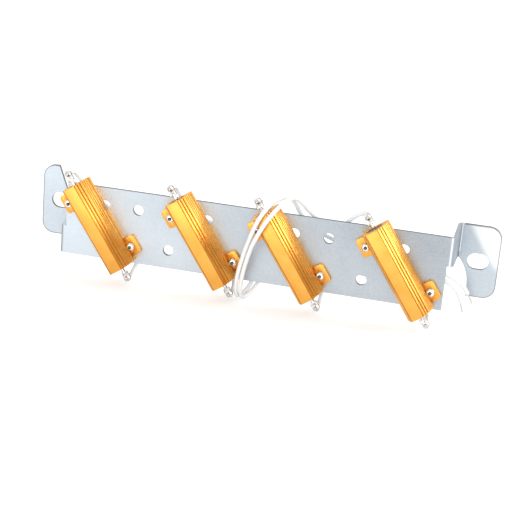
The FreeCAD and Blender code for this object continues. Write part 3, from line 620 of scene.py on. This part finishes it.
LENGTH_OVER_LUGS = 70.6
EYE_FROM_LUG_END = 2.0
LUG_EYE_OUT = LENGTH_OVER_LUGS / 2 - EYE_FROM_LUG_END
LUG_EYES = {(seat, end): seat_matrix(seat) @ Vector((LUG_EYE_OUT * side, 0, BORE_UP))
            for seat in SEATS for end, side in (("upper", -1), ("lower", 1))}
SOLDER_PROFILE = [
    (0.60, -1.25), (0.72, -1.12), (0.95, -0.85), (1.30, -0.62), (1.68, -0.50), (1.78, -0.45), (1.10, -0.45),
    (1.10, 0.45), (1.50, 0.45), (1.42, 0.52), (1.10, 0.64), (0.80, 0.88), (0.66, 1.12), (0.60, 1.25)]

solder = toned_material("dull_solder", 1800.0, (0.42, 0.42, 0.42), (0.78, 0.78, 0.77), (0.2, 0.45),
                        metallic=1.0, detail=3.0, relief=(0.00008, 0.6))
blobs = turned_and_set("solder_cones", SOLDER_PROFILE, True, solder, LUG_EYES.values(), facets=28)
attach(blobs, "root")
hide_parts("solder_joints")

# Bare wire ends. Seven tinned copper strands, twisted, that leave the insulation and go through a
# lug's eye, or end free where a lead is to be joined.

STRANDS = 7
TWIST = {"Bundle Diameter": 0.0012, "Turns per Metre": 110.0}
# shares of the bundle's diameter
STRAND_RADIUS = 0.165
STRAND_OFF_MIDDLE = 0.335
FREE_STRAND = 0.008
PAST_EYE = 0.00125
INSULATION_BEHIND_LUG = 0.00345
STRAIGHT_EXIT = 0.0046

tinned = toned_material("tinned_copper_strands", 2500.0, (0.50, 0.48, 0.44), (0.86, 0.84, 0.80), (0.2, 0.4),
                        metallic=1.0)


def exits(seat, end):
    """Where a wire's insulation starts behind its lug, and where it first turns."""
    start = LUG_EYES[seat, end] + Vector((0, INSULATION_BEHIND_LUG, 0))
    return start, start + Vector((0, STRAIGHT_EXIT, 0))


def through_lug(seat, end):
    """The straight line of the strands from the insulation into the lug's eye."""
    return exits(seat, end)[0], LUG_EYES[seat, end] - Vector((0, PAST_EYE, 0))


def twisted_tree():
    """Seven thin wires along a line, six of them twisted round the middle one."""
    group, given, result, identifiers = geometry_tree("twisted_strands", "Line", TWIST)

    def vector_step(operation, inputs):
        return add_node(group, "ShaderNodeVectorMath", inputs, operation=operation).outputs[0]

    line = add_node(group, "GeometryNodeMeshToCurve", {"Mesh": given["Line"]}).outputs["Curve"]
    fine = add_node(group, "GeometryNodeResampleCurve", {"Curve": line, "Count": 40}).outputs["Curve"]
    copies = group.nodes.new("GeometryNodeDuplicateElements")
    copies.domain = "SPLINE"
    copies.inputs["Amount"].default_value = STRANDS
    group.links.new(fine, copies.inputs["Geometry"])
    number = copies.outputs["Duplicate Index"]
    normal = group.nodes.new("GeometryNodeInputNormal").outputs[0]
    tangent = group.nodes.new("GeometryNodeInputTangent").outputs[0]
    across = vector_step("CROSS_PRODUCT", {0: normal, 1: tangent})
    on_line = group.nodes.new("GeometryNodeSplineParameter").outputs["Length"]
    round_middle = compute(group, "MULTIPLY", on_line, given["Turns per Metre"])
    angle = compute(group, "ADD", compute(group, "MULTIPLY", number, 2 * math.pi / (STRANDS - 1)),
                    compute(group, "MULTIPLY", round_middle, 2 * math.pi))
    # the last strand stays in the middle
    off_middle = compute(group, "MULTIPLY",
                         compute(group, "MULTIPLY", given["Bundle Diameter"], STRAND_OFF_MIDDLE),
                         compute(group, "LESS_THAN", number, STRANDS - 1.5))
    shifts = []
    for axis, wave in ((normal, "COSINE"), (across, "SINE")):
        length = compute(group, "MULTIPLY", compute(group, wave, angle), off_middle)
        shifts.append(vector_step("SCALE", {0: axis, "Scale": length}))
    moved = add_node(group, "GeometryNodeSetPosition", {
        "Geometry": copies.outputs["Geometry"], "Offset": vector_step("ADD", dict(enumerate(shifts)))})
    section = add_node(group, "GeometryNodeCurvePrimitiveCircle", {
        "Resolution": 8, "Radius": compute(group, "MULTIPLY", given["Bundle Diameter"], STRAND_RADIUS)})
    swept = add_node(group, "GeometryNodeCurveToMesh", {
        "Fill Caps": True, "Curve": moved.outputs["Geometry"], "Profile Curve": section.outputs["Curve"]})
    end_tree(group, swept.outputs["Mesh"], tinned, result)
    return group, identifiers


strand_tree, strand_sockets = twisted_tree()


def bare_ends(name, lines):
    """A wire's strands where they are bare, one bundle for each straight line."""
    base = bpy.data.meshes.new(name)
    base.from_pydata([tuple(point) for line in lines for point in line],
                     [(2 * n, 2 * n + 1) for n in range(len(lines))], [])
    piece = grow(name, base, strand_tree, strand_sockets, TWIST)
    shade_by_angle(piece, 50.0)
    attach(piece, "root")
    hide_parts(name.replace("_bare_ends", "_strands"))
    return piece


# Wiring. Limp white wires, 2.4 mm over the insulation, soldered to the lugs. Three jumpers put the
# resistors in series behind the strip; the two leads cross its front and come out under one ear.

WIRE = 0.0024
# the lugs that each jumper joins and the points of its route between them, in millimetres
JUMPERS = {
    "jumper_left": (("1", "lower"), ("2", "lower"), [
        (-67.2, -27.0, -24.6), (-64.4, -24.8, -16.5), (-54.0, -24.4, -9.5), (-38.5, -24.4, -7.5),
        (-22.5, -24.4, -10.0), (-12.2, -24.8, -16.5), (-9.0, -27.0, -24.6)]),
    "jumper_middle": (("2", "upper"), ("3", "upper"), [
        (-45.6, -27.0, 24.0), (-42.0, -24.8, 16.0), (-33.0, -24.4, 8.5), (-20.5, -24.4, 5.5),
        (-9.4, -24.4, 8.0), (-1.2, -24.8, 15.5), (2.5, -27.0, 24.0)]),
    "jumper_right": (("3", "lower"), ("4", "upper"), [
        (40.6, -27.0, -24.6), (41.8, -24.8, -16.0), (43.7, -24.4, -3.0), (46.0, -24.8, 9.5),
        (50.4, -26.2, 19.0), (57.6, -28.4, 25.6)]),
}
# the lug that each lead starts from and the points of its route to its bare end
LEADS = {
    "lead_left": (("1", "upper"), [
        (-104.4, -26.5, 23.8), (-99.0, -22.0, 14.5), (-84.0, -19.8, 3.0), (-62.0, -19.5, -3.0),
        (-38.0, -19.5, -3.5), (-17.0, -19.5, -9.0), (-4.4, -20.3, -16.5), (1.0, -24.0, -23.0),
        (-1.8, -29.0, -28.4), (-5.0, -35.5, -30.2), (-5.6, -39.5, -25.0), (-4.9, -41.2, -17.0),
        (-3.2, -42.6, -8.8), (-0.3, -45.4, 2.3), (3.2, -49.4, 11.9), (6.6, -51.3, 20.6),
        (10.7, -51.0, 27.7), (15.4, -45.0, 31.9), (19.0, -37.0, 31.3), (21.4, -29.0, 27.0),
        (23.8, -22.4, 18.5), (31.5, -19.6, 10.0), (48.0, -19.2, 4.0), (70.0, -19.2, 0.0),
        (91.5, -19.0, -4.0), (106.6, -17.3, -8.8), (111.4, -14.0, -12.6), (114.6, -10.5, -17.6),
        (115.8, -8.0, -22.8)]),
    "lead_right": (("4", "lower"), [
        (100.0, -27.0, -24.6), (93.0, -22.6, -18.5), (76.0, -20.0, -12.5), (54.0, -19.5, -10.5),
        (32.0, -19.5, -11.5), (15.0, -19.8, -15.0), (6.4, -21.0, -18.6), (3.9, -24.6, -24.2),
        (0.9, -29.2, -28.9), (-2.1, -35.8, -30.4), (-2.7, -40.0, -25.2), (-2.1, -41.8, -17.2),
        (-0.3, -43.2, -8.2), (2.9, -46.6, 3.1), (7.2, -51.2, 12.8), (11.6, -51.8, 21.3),
        (16.2, -51.2, 28.0), (20.1, -46.0, 32.4), (22.8, -37.0, 31.6), (25.2, -28.6, 27.0),
        (28.6, -22.4, 20.6), (37.5, -19.8, 14.0), (52.0, -19.2, 8.0), (72.0, -19.2, 3.6),
        (92.0, -19.0, -0.2), (106.6, -17.3, -5.2), (112.4, -14.0, -8.6), (116.8, -10.4, -12.8),
        (119.0, -7.8, -17.4)]),
}

insulation, tree, shader = new_material("white_wire_insulation")
tone = noise(tree, place_vector(tree), 260.0)
tree.links.new(mix_colour(tree, tone, (0.79, 0.80, 0.80), (0.86, 0.87, 0.87)), shader.inputs["Base Color"])
tree.links.new(spread(tree, tone, 0.3, 0.7, 0.38, 0.5), shader.inputs["Roughness"])
bump(tree, shader, noise(tree, place_vector(tree), 1500.0), 0.00004, 0.3)


def wire(name, route):
    curve = bpy.data.curves.new(name, "CURVE")
    curve.dimensions = "3D"
    curve.bevel_depth = WIRE / 2
    curve.bevel_resolution = 5
    curve.use_fill_caps = True
    curve.resolution_u = 14
    spline = curve.splines.new("NURBS")
    spline.points.add(len(route) - 1)
    for point, place in zip(spline.points, route):
        point.co = (*place, 1)
    spline.order_u = 3
    spline.use_endpoint_u = True
    piece = set_down(name, curve)
    dress(piece, insulation)
    return piece


def spline_length(piece):
    """How long a wire is along its own line."""
    bare = piece.data.copy()
    bare.bevel_depth = 0.0
    carrier = set_down("line", bare)
    points = [vertex.co.copy() for vertex in plain_mesh(carrier).vertices]
    bpy.data.objects.remove(carrier)
    return sum((b - a).length for a, b in zip(points, points[1:]))


def fit_wire(name, route, ends):
    """A wire with its bare ends, in place of its solid."""
    piece = wire(name + "_wire", route)
    strands = bare_ends(name + "_bare_ends", ends)
    length = spline_length(piece)
    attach(piece, "root")
    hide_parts(name)


for name, (first, last, middle) in JUMPERS.items():
    start, turn = exits(*first)
    stop, last_turn = exits(*last)
    route = [start, turn] + [Vector(point) * MM for point in middle] + [last_turn, stop]
    fit_wire(name, route, [through_lug(*first), through_lug(*last)])
for name, (first, middle) in LEADS.items():
    start, turn = exits(*first)
    route = [start, turn] + [Vector(point) * MM for point in middle]
    onward = (route[-1] - route[-2]).normalized() * FREE_STRAND
    fit_wire(name, route, [through_lug(*first), (route[-1], route[-1] + onward)])

# The studio. A white floor and surround that are seen as plain white, three soft lamps, and the
# camera where the photographer stood.

FLOOR_LEVEL = -0.0322
FLOOR_REACH = 6
FLOOR_GLOW = 0.29
SURROUND_LIGHT = 0.8
SURROUND_SEEN = 0.2


def seen_share(tree):
    """One where the camera sees a surface, directly, in a mirror or through glass."""
    rays = tree.nodes.new("ShaderNodeLightPath").outputs
    seen = compute(tree, "MAXIMUM", rays["Is Camera Ray"], rays["Is Glossy Ray"])
    return compute(tree, "MAXIMUM", seen, rays["Is Transmission Ray"])


floor_mesh = bpy.data.meshes.new("studio_floor")
floor_corners = [(-FLOOR_REACH, -FLOOR_REACH), (FLOOR_REACH, -FLOOR_REACH),
                 (FLOOR_REACH, FLOOR_REACH), (-FLOOR_REACH, FLOOR_REACH)]
floor_mesh.from_pydata([(x, y, FLOOR_LEVEL) for x, y in floor_corners], [], [(0, 1, 2, 3)])
floor = set_down("studio_floor", floor_mesh)
white_floor, tree, shader = new_material("white_studio_floor")
shader.inputs["Base Color"].default_value = (0.9, 0.9, 0.9, 1)
shader.inputs["Roughness"].default_value = 0.9
glow_strength = compute(tree, "MULTIPLY", seen_share(tree), FLOOR_GLOW)
glow = add_node(tree, "ShaderNodeEmission", {"Color": (1, 1, 1, 1), "Strength": glow_strength})
both = add_node(tree, "ShaderNodeAddShader", {0: shader.outputs[0], 1: glow.outputs[0]})
tree.links.new(both.outputs[0], tree.nodes["Material Output"].inputs["Surface"])
dress(floor, white_floor)

world = bpy.data.worlds.new("studio_world")
bpy.context.scene.world = world
world.use_nodes = True
tree = world.node_tree
surround = tree.nodes["Background"]
surround.inputs["Color"].default_value = (1, 1, 1, 1)
strength = compute(tree, "MULTIPLY_ADD", seen_share(tree), SURROUND_SEEN, SURROUND_LIGHT)
tree.links.new(strength, surround.inputs["Strength"])


def softbox(name, place, target, width, height, power):
    light = bpy.data.lights.new(name, "AREA")
    light.shape = "RECTANGLE"
    light.size = width
    light.size_y = height
    light.energy = power
    lamp = set_down(name, light)
    lamp.location = place
    lamp.rotation_euler = (Vector(target) - Vector(place)).to_track_quat("-Z", "Y").to_euler()


softbox("left_softbox", (-0.45, -0.93, 0.10), (-0.10, -0.03, 0.0), 0.5, 0.24, 1.8)
softbox("key_softbox", (0.38, -1.12, 0.42), (0.02, -0.03, 0.0), 0.6, 0.5, 4.8)
softbox("rim_softbox", (0.90, 0.36, 0.50), (0.0, -0.04, 0.0), 0.6, 0.5, 6.5)

lens = bpy.data.cameras.new("photo_camera")
lens.sensor_fit = "HORIZONTAL"
lens.sensor_width = 36.0
lens.lens = 99.245
lens.clip_start = 0.05
camera = set_down("photo_camera", lens)
right_axis = Vector((0.97034763, 0.22698415, 0.0830883))
up_axis = Vector((-0.14731096, 0.28280337, 0.94779836))
back_axis = Vector((0.19163756, -0.93193372, 0.30785483))
camera.matrix_world = Matrix.Translation((0.152194, -0.757473, 0.233447)) @ Matrix(
    (right_axis, up_axis, back_axis)).transposed().to_4x4()
bpy.context.scene.camera = camera
bpy.context.scene.view_settings.view_transform = "Standard"
